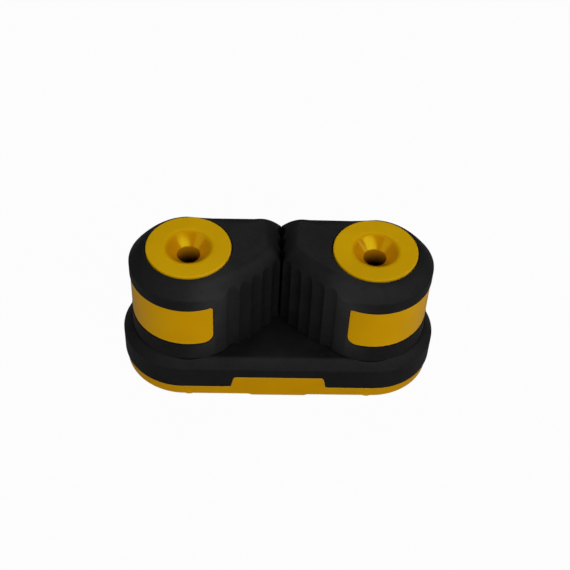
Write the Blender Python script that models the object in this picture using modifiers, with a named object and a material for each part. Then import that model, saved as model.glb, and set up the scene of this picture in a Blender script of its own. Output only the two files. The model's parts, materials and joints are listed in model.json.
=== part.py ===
"""Cam cleat: two spring-loaded toothed cams on ball bearings, over a two-part base.

Frame: metres, +Z up, origin at the centre of the underside. +X runs along the base from the left
cam to the right cam. The rope enters from -Y, and its load pulls towards -Y, which shuts the cams.
Every size below is in millimetres and is turned into metres where it is used.
"""

from math import acos, atan2, cos, degrees, hypot, radians, sin, sqrt

import bmesh
import bpy
from mathutils import Matrix

MM = 0.001
MERGE = 0.00001  # merge distance in metres

# Layout
PIVOT_X = 19.0  # each cam turns about X = -PIVOT_X or +PIVOT_X; the screw holes are on the same axes
GAP = 0.3  # clearance between neighbouring pieces
OVERLAP = 0.5  # how far two forms that are joined run into each other
OVERRUN = 1.0  # how far a cutter stands out of what it cuts
ROUND_STEPS = 48  # sides of the large round pieces and bores
RING_STEPS = 32  # sides of the rings inside the bearing
HOLE_STEPS = 24  # sides of the screw holes and their bosses
SMALL_STEPS = 12  # sides of the smallest round details
STADIUM_STEPS = 14  # sides of each half circle of the base
SMOOTH_ANGLE = 35.0  # edges sharper than this, in degrees, stay sharp

# Base plate
PLATE_ARC_X = 20.0
PLATE_R = 12.94
PLATE_Z0 = 0.3
PLATE_Z1 = 2.7
PAD_HALF = (6.5, 12.9)  # middle pad, half width and half depth
FOOT_R = 1.5
FOOT_Y = 11.4
PLATE_BOSS_R = 5.2
PLATE_BOSS_Z = 6.3
SCREW_HOLE_R = 2.75
TAB_TOP_Z = 5.8
TAB_HALF_TOP = 9.1
TAB_HALF_FOOT = 10.3
TAB_THICK = 1.4
TAB_STEP = 0.05  # the tabs stand this far back from the plate's edge

# Base shell
SHELL_ARC_X = 20.25
SHELL_R = 13.1
SHELL_Z0 = 3.0
SHELL_CREASE_Z = 8.5
SHELL_TOP_Z = 10.6
SHELL_EDGE_INSET = 2.0  # how far in the rounded top edge reaches
SHELL_EDGE_TURNS = (0, 30, 60, 90)  # degrees round that edge
SHELL_WALL = 2.0
SHELL_ROOF = 2.6
POST_HOLE_R = 4.8
WASHER_GROOVE = (8.4, 11.8)
WASHER_GROOVE_Z = 9.8
STOP_R = 1.0
STOP_REACH = 14.0  # distance of the stop lug from the cam's axis
STOP_ANGLE = 45.0
STOP_TOP_Z = 12.2
GROOVE_STEPS = 8

# Cam
CAM_OPEN = 55.0  # degrees from shut to fully open
CAM_R = 12.25
CAM_Z0 = 11.0
CAM_CREASE_Z = 28.4
FACE_CREASE_Z = 27.3  # the shoulder starts lower over the gripping face and the nose
CAM_TOP_Z = 31.5
CAM_SHOULDER = 3.35  # width of the domed shoulder
CAM_BORE_R = 8.9
FACE_CENTER = (-4.4, 16.4)  # the gripping face's arc, about the cam's axis
FACE_R = 28.6
FACE_START = -64.5
FACE_END = -35.3
FACE_FLUTES = 5
NOSE_PITCH = 3.05
NOSE_FLUTES = 3
NOSE_CORNER_R = 6.0
NOSE_CORNER_X = 14.2
FLUTE_R = 2.0
FLUTE_STEPS = 20
RIM_STEPS = 30
CORNER_STEPS = 5
DOME_SHARES = (0.4, 0.8, 1.0)  # where the shoulder's rings lie, as shares of its width
DOME_POWER = 1.4
TOOTH_LAND = 0.1  # the flutes' crests are cut back this far

# Side band
BAND_R = 12.1
BAND_THICK = 1.0
BAND_Z = (15.4, 25.5)
BAND_FRONT = -64.0
BAND_REAR = -262.0
BAND_FIT = 0.2
BAND_STEPS = 30

# Bearing
BALL_R = 3.97 / 2  # 5/32 in balls
BALL_SUBDIVISIONS = 2
BALLS_PER_ROW = 10
BALL_PITCH_R = 6.715
BALL_ROW_Z = (21.0, 26.2)
RACE_RING_Z = (17.8, 18.8)
SPACER_Z = (23.2, 24.0)
RING_R = (4.8, 8.6)
POST_R = (3.6, 4.5)
POST_Z = (6.6, 28.1)
POST_FOOT_R = 6.6
POST_FOOT_Z = 7.7
WASHER_R = (8.7, 11.5)
WASHER_Z = (10.1, 10.75)

# Cap
CAP_R = 8.69
CAP_TOP_Z = 31.8
CAP_UNDER_Z = 28.4
CAP_EDGE = 0.35
CAP_STEM_R = 3.3
CAP_STEM_Z = 7.4
CAP_HOLE_R = 2.45
CAP_LIP_R = 5.7
CAP_SINK_R = 4.7
CAP_LIP_DROP = 0.5  # the rounded lip falls this far from the top to the countersink
CAP_THROAT_Z = 29.9

# Spring
WIRE_R = 0.6
COIL_R = 7.2
COIL_Z = (11.8, 16.9)
COIL_START = 180.0
COIL_END = 10.0
COIL_TURNS = 3
COIL_STEPS = 14  # points in one turn
SPRING_FOOT_Z = 9.0
SPRING_REACH = 10.2
LEG_HOLE_R = 0.95


def clear_scene():
    for item in list(bpy.data.objects):
        bpy.data.objects.remove(item)


def make_collection(name):
    collection = bpy.data.collections.new(name)
    bpy.context.scene.collection.children.link(collection)
    return collection


def make_material(name, color, roughness, metallic=0.0):
    material = bpy.data.materials.new(name)
    material.use_nodes = True
    shader = material.node_tree.nodes["Principled BSDF"]
    shader.inputs["Base Color"].default_value = (*color, 1.0)
    shader.inputs["Roughness"].default_value = roughness
    shader.inputs["Metallic"].default_value = metallic
    return material


def polar(radius, angle):
    return radius * cos(radians(angle)), radius * sin(radians(angle))


def arc(center, radius, start, end, steps):
    """Points from start to end (degrees) about center, both ends included."""
    points = []
    for i in range(steps + 1):
        x, y = polar(radius, start + (end - start) * i / steps)
        points.append((center[0] + x, center[1] + y))
    return points


def stadium(arc_x, radius):
    """Two half circles about (+arc_x, 0) and (-arc_x, 0), joined by straight sides."""
    right = arc((arc_x, 0), radius, -90, 90, STADIUM_STEPS)
    left = arc((-arc_x, 0), radius, 90, 270, STADIUM_STEPS)
    return right + left


def new_object(name, mesh, collection):
    item = bpy.data.objects.new(name, mesh)
    collection.objects.link(item)
    return item


def mesh_from(form, name):
    """A mesh of the bmesh, smooth except at its sharp edges. The bmesh is freed."""
    mesh = bpy.data.meshes.new(name)
    form.to_mesh(mesh)
    form.free()
    mesh.shade_smooth()
    mesh.set_sharp_from_angle(angle=radians(SMOOTH_ANGLE))
    return mesh


def loft(name, rings, collection):
    """A solid through rings of equal length, each given as (points, z), with its ends filled.

    A ring's z is one height, or a list of one height per point.
    """
    form = bmesh.new()
    loops = []
    for points, z in rings:
        heights = z if isinstance(z, list) else [z] * len(points)
        loops.append([form.verts.new((x * MM, y * MM, h * MM)) for (x, y), h in zip(points, heights)])
    count = len(loops[0])
    for lower, upper in zip(loops, loops[1:]):
        for i in range(count):
            j = (i + 1) % count
            form.faces.new((lower[i], lower[j], upper[j], upper[i]))
    form.faces.new(reversed(loops[0]))
    form.faces.new(loops[-1])
    bmesh.ops.recalc_face_normals(form, faces=form.faces)
    return new_object(name, mesh_from(form, name), collection)


def prism(name, points, z0, z1, collection):
    """A flat outline given thickness from z0 to z1: a filled 2D curve with extrude, made a mesh."""
    curve = bpy.data.curves.new(name, "CURVE")
    curve.dimensions = "2D"
    curve.fill_mode = "BOTH"
    curve.extrude = (z1 - z0) / 2 * MM
    spline = curve.splines.new("POLY")
    spline.points.add(len(points) - 1)
    for target, (x, y) in zip(spline.points, points):
        target.co = (x * MM, y * MM, 0, 1)
    spline.use_cyclic_u = True
    guide = new_object(name + "_outline", curve, collection)
    guide.location.z = (z0 + z1) / 2 * MM
    return curve_to_mesh(guide, name, collection)


def curve_to_mesh(guide, name, collection):
    """Turns a curve object into a closed mesh object in the same place, and removes the curve."""
    bpy.context.view_layer.update()
    evaluated = guide.evaluated_get(bpy.context.evaluated_depsgraph_get())
    loose = bpy.data.meshes.new_from_object(evaluated)
    form = bmesh.new()
    form.from_mesh(loose)
    bpy.data.meshes.remove(loose)
    bmesh.ops.remove_doubles(form, verts=form.verts, dist=MERGE)
    bmesh.ops.recalc_face_normals(form, faces=form.faces)
    item = new_object(name, mesh_from(form, name), collection)
    item.matrix_world = guide.matrix_world
    bpy.data.objects.remove(guide)
    return item


def cylinder(name, radius, z0, z1, x, y, collection, steps=HOLE_STEPS):
    """A closed upright cylinder from z0 to z1 about (x, y)."""
    form = bmesh.new()
    bmesh.ops.create_cone(
        form,
        cap_ends=True,
        segments=steps,
        radius1=radius * MM,
        radius2=radius * MM,
        depth=(z1 - z0) * MM,
        matrix=Matrix.Translation((0, 0, (z0 + z1) / 2 * MM)),
    )
    item = new_object(name, mesh_from(form, name), collection)
    item.location = (x * MM, y * MM, 0)
    return item


def turned(name, profile, x, collection, steps):
    """A closed profile of (radius, z), run down its outer side from top to bottom, turned about Z at x."""
    form = bmesh.new()
    verts = [form.verts.new((r * MM, 0, z * MM)) for r, z in profile]
    for first, second in zip(verts, verts[1:] + verts[:1]):
        form.edges.new((first, second))
    mesh = bpy.data.meshes.new(name)
    form.to_mesh(mesh)
    form.free()
    item = new_object(name, mesh, collection)
    item.location = (x * MM, 0, 0)
    screw = item.modifiers.new("turn", "SCREW")
    screw.steps = steps
    screw.render_steps = steps
    screw.use_merge_vertices = True
    screw.merge_threshold = MERGE
    screw.use_smooth_shade = True
    return item


def ring_profile(radii, heights):
    (inner, outer), (bottom, top) = radii, heights
    return [(outer, top), (outer, bottom), (inner, bottom), (inner, top)]


def combine(target, other, operation):
    step = target.modifiers.new(other.name, "BOOLEAN")
    step.operation = operation
    step.object = other
    step.solver = "EXACT"


def cut(target, *cutters):
    for cutter in cutters:
        combine(target, cutter, "DIFFERENCE")


def join(target, *additions):
    for addition in additions:
        combine(target, addition, "UNION")


def side_name(side):
    return "left" if side < 0 else "right"


def mirrored(points, side):
    """Points drawn for the left half, moved to the given side."""
    return [(x * -side, y) for x, y in points]


# Base


def foot_pads(collection):
    """Raised pads under the plate: a middle pad, one round each screw hole, and four small round feet."""
    half_width, half_depth = PAD_HALF
    front = [(-half_width, -half_depth), (half_width, -half_depth)]
    rear = [(half_width, half_depth), (-half_width, half_depth)]
    top = PLATE_Z0 + OVERLAP
    pads = [prism("pad_middle", front + rear, 0, top, collection)]
    for side in (-1, 1):
        label = side_name(side)
        x = side * PIVOT_X
        pads.append(cylinder(f"pad_{label}", PLATE_BOSS_R, 0, top, x, 0, collection))
        for end, y in (("front", -FOOT_Y), ("rear", FOOT_Y)):
            pads.append(cylinder(f"foot_{label}_{end}", FOOT_R, 0, top, x, y, collection, SMALL_STEPS))
    return pads


def tab_form(name, side, y_range, z_range, margin, collection):
    """The tapered form shared by a tab and its notch, in front (side -1) or behind (side +1)."""
    slope = (TAB_HALF_FOOT - TAB_HALF_TOP) / (TAB_TOP_Z - PLATE_Z1)
    inner, outer = (side * y for y in y_range)
    levels = []
    for z in z_range:
        half = TAB_HALF_TOP + slope * (TAB_TOP_Z - z) + margin
        levels.append((((-half, outer), (half, outer), (half, inner), (-half, inner)), z))
    return loft(name, levels, collection)


def tab(name, side, collection):
    """A lug that stands on the plate's edge."""
    y_range = (PLATE_R - TAB_THICK, PLATE_R - TAB_STEP)
    return tab_form(name, side, y_range, (PLATE_Z1 - OVERLAP, TAB_TOP_Z), 0, collection)


def tab_notch(name, side, collection):
    """The notch through the shell's wall that a tab fits in, with clearance at its ends and top."""
    y_range = (SHELL_R - SHELL_WALL - OVERRUN, SHELL_R + OVERRUN)
    return tab_form(name, side, y_range, (SHELL_Z0 - OVERRUN, TAB_TOP_Z + GAP), GAP, collection)


def base_plate(parts, cutters):
    plate = prism("base_plate", stadium(PLATE_ARC_X, PLATE_R), PLATE_Z0, PLATE_Z1, parts)
    join(plate, *foot_pads(cutters), tab("tab_front", -1, cutters), tab("tab_rear", 1, cutters))
    for side in (-1, 1):
        label = side_name(side)
        x = side * PIVOT_X
        boss_z = (PLATE_Z1 - OVERLAP, PLATE_BOSS_Z)
        hole_z = (-OVERRUN, PLATE_BOSS_Z + OVERRUN)
        join(plate, cylinder(f"plate_boss_{label}", PLATE_BOSS_R, *boss_z, x, 0, cutters))
        cut(plate, cylinder(f"screw_hole_{label}", SCREW_HOLE_R, *hole_z, x, 0, cutters))
    return plate


def shell_body(collection):
    """The shell's outside: upright walls up to the crease, then a rounded edge that fades into the top."""
    levels = [(stadium(SHELL_ARC_X, SHELL_R), SHELL_Z0)]
    rise = SHELL_TOP_Z - SHELL_CREASE_Z
    for turn in SHELL_EDGE_TURNS:
        inset = SHELL_EDGE_INSET * (1 - cos(radians(turn)))
        levels.append((stadium(SHELL_ARC_X, SHELL_R - inset), SHELL_CREASE_Z + rise * sin(radians(turn))))
    return loft("base_shell", levels, collection)


def base_shell(parts, cutters):
    """The black deck body: hollow below, with seats for both cams and a stop lug behind each axis."""
    shell = shell_body(parts)
    roof_z = SHELL_TOP_Z - SHELL_ROOF
    cavity_outline = stadium(SHELL_ARC_X, SHELL_R - SHELL_WALL)
    cut(shell, prism("shell_cavity", cavity_outline, SHELL_Z0 - OVERRUN, roof_z, cutters))
    cut(shell, tab_notch("notch_front", -1, cutters), tab_notch("notch_rear", 1, cutters))
    through = (roof_z - OVERRUN, SHELL_TOP_Z + OVERRUN)
    for side in (-1, 1):
        label = side_name(side)
        x = side * PIVOT_X
        stop_x, stop_y = mirrored([polar(STOP_REACH, STOP_ANGLE)], side)[0]
        leg_x, leg_y = mirrored([polar(COIL_R, COIL_START)], side)[0]
        groove = ring_profile(WASHER_GROOVE, (WASHER_GROOVE_Z, SHELL_TOP_Z + OVERRUN))
        stop_z = (SHELL_TOP_Z - OVERLAP, STOP_TOP_Z)
        cut(shell, turned(f"washer_groove_{label}", groove, x, cutters, ROUND_STEPS))
        cut(shell, cylinder(f"post_hole_{label}", POST_HOLE_R, *through, x, 0, cutters, ROUND_STEPS))
        leg_x += x
        stop_x += x
        cut(shell, cylinder(f"leg_hole_{label}", LEG_HOLE_R, *through, leg_x, leg_y, cutters, SMALL_STEPS))
        join(shell, cylinder(f"stop_{label}", STOP_R, *stop_z, stop_x, stop_y, cutters, SMALL_STEPS))
    return shell


# Cam, drawn for the left side about its own axis, with the nose towards +X


def face_crests():
    """Tooth crests about the cam's axis: along the curved gripping face, then back along the nose."""
    crests = arc(FACE_CENTER, FACE_R, FACE_START, FACE_END, FACE_FLUTES)
    nose_x, start_y = crests[-1]
    return crests + [(nose_x, start_y + NOSE_PITCH * (i + 1)) for i in range(NOSE_FLUTES)]


def flute_centers():
    """Axis of each flute: a circle of FLUTE_R through two neighbouring crests, centred outside the cam."""
    centers = []
    crests = face_crests()
    for (ax, ay), (bx, by) in zip(crests, crests[1:]):
        span = hypot(bx - ax, by - ay)
        reach = sqrt(FLUTE_R**2 - (span / 2) ** 2)
        out_x, out_y = (by - ay) / span, (ax - bx) / span
        centers.append(((ax + bx) / 2 + out_x * reach, (ay + by) / 2 + out_y * reach))
    return centers


def cam_outline(inset=0.0):
    """The cam's plan about its axis without flutes, moved in by inset; its point count never changes."""
    crests = face_crests()
    depth = TOOTH_LAND + inset
    face = []
    for (ax, ay), (x, y), (bx, by) in zip(crests, crests[1:], crests[2:]):
        span = hypot(bx - ax, by - ay)
        face.append((x - (by - ay) / span * depth, y + (bx - ax) / span * depth))
    first_x, first_y = crests[0]
    start = degrees(atan2(first_y, first_x))
    corner = (NOSE_CORNER_X, CAM_R - NOSE_CORNER_R)
    corner_r = NOSE_CORNER_R - inset
    corner_end = degrees(acos((face[-1][0] - corner[0]) / corner_r))
    rim = arc((0, 0), CAM_R - inset, start, -270, RIM_STEPS)
    return rim + arc(corner, corner_r, 90, corner_end, CORNER_STEPS) + face[::-1]


def cam_body(name, side, collection):
    """Upright wall to the crease, then a domed shoulder that ends at the flat top."""
    outline = cam_outline()
    rim = RIM_STEPS + 1
    creases = [CAM_CREASE_Z] * rim + [FACE_CREASE_Z] * (len(outline) - rim)
    levels = [(outline, CAM_Z0), (outline, creases)]
    for share in DOME_SHARES:
        left = (1 - share) ** DOME_POWER
        heights = [CAM_TOP_Z - (CAM_TOP_Z - crease) * left for crease in creases]
        levels.append((cam_outline(CAM_SHOULDER * share), heights))
    body = loft(name, [(mirrored(points, side), heights) for points, heights in levels], collection)
    body.location.x = side * PIVOT_X * MM
    return body


def band_sector(radii, margin):
    """Plan points of a ring sector on the cam's outside, longer than the band by a margin at each end."""
    inner, outer = radii
    edge = degrees(margin / outer)
    front = BAND_FRONT + edge
    rear = BAND_REAR - edge
    return arc((0, 0), outer, front, rear, BAND_STEPS) + arc((0, 0), inner, rear, front, BAND_STEPS)


def stop_groove():
    """Plan points of the arc slot that the stop lug runs in, as the cam sees it."""
    half = STOP_R + GAP
    front = STOP_ANGLE - CAM_OPEN
    rear_center = polar(STOP_REACH, STOP_ANGLE)
    front_center = polar(STOP_REACH, front)
    points = arc((0, 0), STOP_REACH + half, front, STOP_ANGLE, GROOVE_STEPS)
    points += arc(rear_center, half, STOP_ANGLE, STOP_ANGLE + 180, GROOVE_STEPS)[1:]
    points += arc((0, 0), STOP_REACH - half, STOP_ANGLE, front, GROOVE_STEPS)[1:]
    points += arc(front_center, half, front + 180, front + 360, GROOVE_STEPS)[1:-1]
    return points


def leg_slot():
    """Plan points of the slot that takes the spring's upper leg, open towards the bore."""
    inner = CAM_BORE_R - OVERRUN
    outer = SPRING_REACH + 2 * GAP
    half = WIRE_R + GAP
    turn = radians(COIL_END)
    points = []
    for along, across in ((inner, -half), (outer, -half), (outer, half), (inner, half)):
        points.append((along * cos(turn) - across * sin(turn), along * sin(turn) + across * cos(turn)))
    return points


def cam(side, parts, cutters):
    """One toothed cam: fluted face, bore for the balls, recess for the band, groove and slot below."""
    label = side_name(side)
    axis_x = side * PIVOT_X
    through = (CAM_Z0 - OVERRUN, CAM_TOP_Z + OVERRUN)
    body = cam_body(f"{label}_cam", side, parts)
    for i, (x, y) in enumerate(mirrored(flute_centers(), side)):
        cut(body, cylinder(f"flute_{label}_{i}", FLUTE_R, *through, axis_x + x, y, cutters, FLUTE_STEPS))
    cut(body, cylinder(f"bore_{label}", CAM_BORE_R, *through, axis_x, 0, cutters, ROUND_STEPS))
    recess = band_sector((BAND_R - BAND_THICK - BAND_FIT, CAM_R + OVERRUN), BAND_FIT)
    pockets = (
        ("band_recess", recess, (BAND_Z[0] - BAND_FIT, BAND_Z[1] + BAND_FIT)),
        ("stop_groove", stop_groove(), (CAM_Z0 - OVERRUN, STOP_TOP_Z + GAP)),
        ("leg_slot", leg_slot(), (CAM_Z0 - OVERRUN, COIL_Z[1] + WIRE_R + GAP)),
    )
    for kind, points, heights in pockets:
        cutter = prism(f"{kind}_{label}", mirrored(points, side), *heights, cutters)
        cutter.location.x = axis_x * MM
        cut(body, cutter)
    return body


def side_band(side, parts):
    """Inlay in the recess round the outside of a cam."""
    label = side_name(side)
    points = band_sector((BAND_R - BAND_THICK, BAND_R), 0.0)
    band = prism(f"{label}_side_band", mirrored(points, side), *BAND_Z, parts)
    band.location.x = side * PIVOT_X * MM
    return band


# Bearing, cap and spring


def cap(side, parts):
    """Flanged bush: countersunk head over the cam's bore, hollow stem inside the post."""
    profile = [
        (CAP_LIP_R, CAP_TOP_Z),
        (CAP_R - CAP_EDGE, CAP_TOP_Z),
        (CAP_R, CAP_TOP_Z - CAP_EDGE),
        (CAP_R, CAP_UNDER_Z),
        (CAP_STEM_R, CAP_UNDER_Z),
        (CAP_STEM_R, CAP_STEM_Z),
        (CAP_HOLE_R, CAP_STEM_Z),
        (CAP_HOLE_R, CAP_THROAT_Z),
        (CAP_SINK_R, CAP_TOP_Z - CAP_LIP_DROP),
    ]
    return turned(f"{side_name(side)}_cap", profile, side * PIVOT_X, parts, ROUND_STEPS)


def post(side, parts):
    """Steel sleeve: the inner race of both ball rows, with a foot flange under the shell's roof."""
    (inner, outer), (bottom, top) = POST_R, POST_Z
    profile = [
        (outer, top),
        (outer, POST_FOOT_Z),
        (POST_FOOT_R, POST_FOOT_Z),
        (POST_FOOT_R, bottom),
        (inner, bottom),
        (inner, top),
    ]
    return turned(f"{side_name(side)}_post", profile, side * PIVOT_X, parts, RING_STEPS)


def bearing_rings(side, parts):
    """The wear washer under the cam, the ring under the lower ball row, and the ring between the rows."""
    label = side_name(side)
    x = side * PIVOT_X
    washer = turned(f"{label}_wear_washer", ring_profile(WASHER_R, WASHER_Z), x, parts, ROUND_STEPS)
    race = turned(f"{label}_race_ring", ring_profile(RING_R, RACE_RING_Z), x, parts, RING_STEPS)
    spacer = turned(f"{label}_ball_spacer", ring_profile(RING_R, SPACER_Z), x, parts, RING_STEPS)
    return washer, race, spacer


def ball_mesh():
    """The mesh that all the balls share."""
    form = bmesh.new()
    bmesh.ops.create_icosphere(form, subdivisions=BALL_SUBDIVISIONS, radius=BALL_R * MM)
    mesh = mesh_from(form, "ball")
    mesh.set_sharp_from_angle(angle=radians(180))
    return mesh


def ball_rows(side, mesh, parent, parts):
    """Two rows of balls about the cam's axis; the upper row is turned by half a space."""
    balls = []
    step = 360 / BALLS_PER_ROW
    for row, (label, z) in enumerate(zip(("lower", "upper"), BALL_ROW_Z)):
        for i in range(BALLS_PER_ROW):
            ball = new_object(f"{side_name(side)}_ball_{label}_{i + 1:02d}", mesh, parts)
            x, y = polar(BALL_PITCH_R, step * (i + row / 2))
            ball.location = (x * MM, y * MM, z * MM)
            ball.parent = parent
            balls.append(ball)
    return balls


def spring_points():
    """Centreline about the cam's axis: foot, coil from the bottom up, then the radial leg."""
    start_x, start_y = polar(COIL_R, COIL_START)
    points = [(start_x, start_y, SPRING_FOOT_Z), (start_x, start_y, COIL_Z[0] - WIRE_R)]
    sweep = COIL_END - COIL_START + 360 * (COIL_TURNS + 1)
    count = round(COIL_STEPS * sweep / 360)
    for i in range(1, count + 1):
        x, y = polar(COIL_R, COIL_START + sweep * i / count)
        points.append((x, y, COIL_Z[0] + (COIL_Z[1] - COIL_Z[0]) * i / count))
    end_x, end_y = polar(SPRING_REACH, COIL_END)
    points.append((end_x, end_y, COIL_Z[1]))
    return points


def spring(side, parts):
    """Torsion spring: its foot stands in the shell, its upper leg pushes in the cam's slot."""
    name = f"{side_name(side)}_spring"
    curve = bpy.data.curves.new(name, "CURVE")
    curve.dimensions = "3D"
    curve.bevel_depth = WIRE_R * MM
    curve.bevel_resolution = 2
    curve.use_fill_caps = True
    points = spring_points()
    spline = curve.splines.new("POLY")
    spline.points.add(len(points) - 1)
    for target, (x, y, z) in zip(spline.points, points):
        target.co = (x * -side * MM, y * MM, z * MM, 1)
    guide = new_object(name + "_wire", curve, parts)
    guide.location.x = side * PIVOT_X * MM
    return curve_to_mesh(guide, name, parts)


def paint(items, material):
    for item in items:
        if not item.data.materials:
            item.data.materials.append(material)


def build():
    clear_scene()
    parts = make_collection("cam_cleat")
    cutters = make_collection("cutters")
    black = make_material("black_plastic", (0.018, 0.018, 0.020), 0.55)
    yellow = make_material("yellow_plastic", (0.62, 0.36, 0.008), 0.35)
    white = make_material("white_plastic", (0.75, 0.74, 0.70), 0.45)
    steel = make_material("steel", (0.55, 0.55, 0.56), 0.3, 1.0)
    dark_ball = make_material("ball_plastic", (0.06, 0.06, 0.065), 0.25)
    ball = ball_mesh()
    paint([base_plate(parts, cutters)], yellow)
    paint([base_shell(parts, cutters)], black)
    for side in (-1, 1):
        label = side_name(side)
        axis = new_object(f"{label}_axis", None, parts)
        axis.location.x = side * PIVOT_X * MM
        paint([cam(side, parts, cutters)], black)
        paint([side_band(side, parts), cap(side, parts)], yellow)
        paint([post(side, parts), spring(side, parts)], steel)
        paint(bearing_rings(side, parts), white)
        paint(ball_rows(side, ball, axis, parts), dark_ball)
    for cutter in cutters.objects:
        cutter.hide_render = True
        cutter.display_type = "WIRE"


build()
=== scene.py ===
"""Looks of the cam cleat: finer meshes, procedural materials, a plain stage and the camera.

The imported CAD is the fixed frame, and every piece here takes the place of a CAD node and rides on its
body. Pieces are drawn in millimetres about the axis of the left cam, with the cam's nose towards +X,
and mirrored for the right.
"""

import json
from math import acos, atan2, ceil, cos, degrees, pi, radians, sin, sqrt, tan

import bmesh
import bpy
import numpy as np
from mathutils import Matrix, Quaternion, Vector

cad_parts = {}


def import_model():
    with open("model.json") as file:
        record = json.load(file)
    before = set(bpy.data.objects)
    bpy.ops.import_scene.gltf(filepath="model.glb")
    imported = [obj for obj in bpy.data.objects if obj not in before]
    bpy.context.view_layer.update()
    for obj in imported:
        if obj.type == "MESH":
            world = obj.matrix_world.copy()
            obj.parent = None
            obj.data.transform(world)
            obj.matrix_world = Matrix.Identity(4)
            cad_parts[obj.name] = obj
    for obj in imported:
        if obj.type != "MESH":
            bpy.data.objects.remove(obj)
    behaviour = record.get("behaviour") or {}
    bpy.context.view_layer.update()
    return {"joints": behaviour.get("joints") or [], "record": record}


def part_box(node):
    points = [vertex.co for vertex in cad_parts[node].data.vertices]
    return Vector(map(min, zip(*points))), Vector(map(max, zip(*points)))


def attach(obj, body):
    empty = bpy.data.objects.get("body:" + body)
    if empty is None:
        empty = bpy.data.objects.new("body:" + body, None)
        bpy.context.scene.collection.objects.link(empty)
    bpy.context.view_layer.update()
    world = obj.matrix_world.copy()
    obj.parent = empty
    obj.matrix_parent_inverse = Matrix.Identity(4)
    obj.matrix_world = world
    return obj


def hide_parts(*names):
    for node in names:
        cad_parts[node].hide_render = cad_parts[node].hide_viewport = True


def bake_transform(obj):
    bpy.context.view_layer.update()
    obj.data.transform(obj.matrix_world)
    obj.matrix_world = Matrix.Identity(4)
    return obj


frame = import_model()

# Lengths are in millimetres and angles in degrees, from +X leftwards, where nothing else is said.
MM = 0.001
SIDES = (-1, 1)
SMOOTH_ANGLE = 32.0  # edges sharper than this stay sharp

# Curves
ARC_STEP = 0.3  # longest piece of an arc
ARC_TURN = 11.0  # largest turn of one piece
TURNED_STEPS = 160
RING_STEPS = 96
HOLE_STEPS = 48
CORNER_STEPS = 9
SMALL_CORNER_STEPS = 3
CUT_MARGIN = 1.0  # a cutter reaches this far past the face it cuts
UNION_DEPTH = 0.5  # a joined piece reaches this far into its partner

# Cam
CAM_R = 12.25
SHOULDER_TURNS = (-180, -78, -58, 5, 22, 36, 65, 95, 150, 180)  # degrees about the cam's axis
SHOULDER_DROPS = (3.1, 3.1, 4.2, 4.2, 2.5, 4.0, 4.2, 4.2, 3.6, 3.1)  # from the flat top to the wall
SHOULDER_WIDTHS = (3.35, 3.35, 3.5, 3.5, 3.5, 4.3, 4.3, 3.35, 3.35, 3.35)
SHOULDER_POWERS = (1.5, 1.5, 2.1, 2.0, 1.6, 1.5, 1.5, 1.25, 1.3, 1.5)  # more is softer at the flat top
BORE_R = 8.9
BORE_EDGE = 0.15
FACE_CENTER = (-4.4, 16.4)
FACE_R = 28.6
FACE_START = -64.5
FACE_END = -35.3
FACE_FLUTES = 5
NOSE_PITCH = 3.05
NOSE_FLUTES = 3
NOSE_X = 18.996
NOSE_CORNER = (14.2, 6.25)
NOSE_CORNER_R = 6.0
NOSE_EDGE_R = 0.8
FLUTE_R = 2.0
CREST_R = 0.18
TOP_EDGE = 0.12
FOOT_EDGE = 0.15
LINE_STEP = 0.6
DOME_ROWS = 14
DOME_REACH = 4.4  # the dome's rows lie within this distance of the wall
DOME_SHARE = 0.9  # and take at most this share of the way to the bore
FLAT_ROWS = 4
BLEND_WIDTH = 0.5  # width of the soft joins between the shoulder's sides
DISC_FROM = -75.0  # from here back to 90 degrees the cam is a plain disc

# Painted sheen: a lighter grey painted round the corner between a cam's round side and its gripping face
SHEEN_TURN = -60.0
SHEEN_REACH = 8.0
SHEEN_HEIGHTS = (11, 17, 27, 31)
SHEEN_SHARES = (0.2, 1.0, 0.9, 0.4)

# Stop lug, its groove and the spring's slot
STOP_R = 1.0
STOP_REACH = 14.0
STOP_ANGLE = 45.0
STOP_EDGE = 0.25
STOP_EDGE_BOW = 0.3  # the rounded edge's middle row pulls in and down by this share of it
SLOT_GAP = 0.3
SLOT_REACH = 10.8

# Side band
BAND_R = 12.1
BAND_THICK = 1.0
BAND_FRONT = -64.0
BAND_REAR = -262.0
BAND_LOWER_CORNER = 2.0
BAND_UPPER_CORNER = 0.8
BAND_EDGE = 0.22
BAND_GAP = 0.15
BAND_ROWS = 12
BAND_STEP = 0.5
RECESS_END = 0.2  # length of the recess's first and last column

# Cap
CAP_R = 8.69
CAP_HEAD = 3.4
CAP_EDGE = 0.35
CAP_LIP_R = 4.85
CAP_LIP_ROUND = 1.4
CAP_SINK = 2.35
CAP_HOLE_R = 2.35
CAP_STEM_R = 3.3
# painted shade in a cap's bore deepens over the depth below
BORE_FADE = 4.0  # the bore turns dark over this depth
SMALL_EDGE = 0.15

# Bearing
POST_R = (3.6, 4.5)
POST_FOOT = (6.6, 1.1)  # radius and thickness of the flange
RING_R = (4.8, 8.6)
WASHER_R = (8.7, 11.5)
RING_EDGE_SHARE = 0.3  # of a ring's thickness, for the radius of its edges
BALL_SUBDIVISIONS = 4

# Spring
WIRE_R = 0.6
WIRE_SIDES = 14
WIRE_END = (0.7, 0.3)  # the rounded end's share of the wire's radius, and its length in radii
LEAD_STEPS = 5
LEG_STEPS = 6
COIL_R = 7.2
COIL_SWEEP = 1270.0  # degrees from the foot to the upper leg
COIL_START = 180.0
COIL_STEP = 9.0
COIL_BOTTOM = 2.8  # height of the coil's start over the foot's end
COIL_TOP = 0.6
SPRING_REACH = 10.2
BEND_R = 1.4

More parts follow.
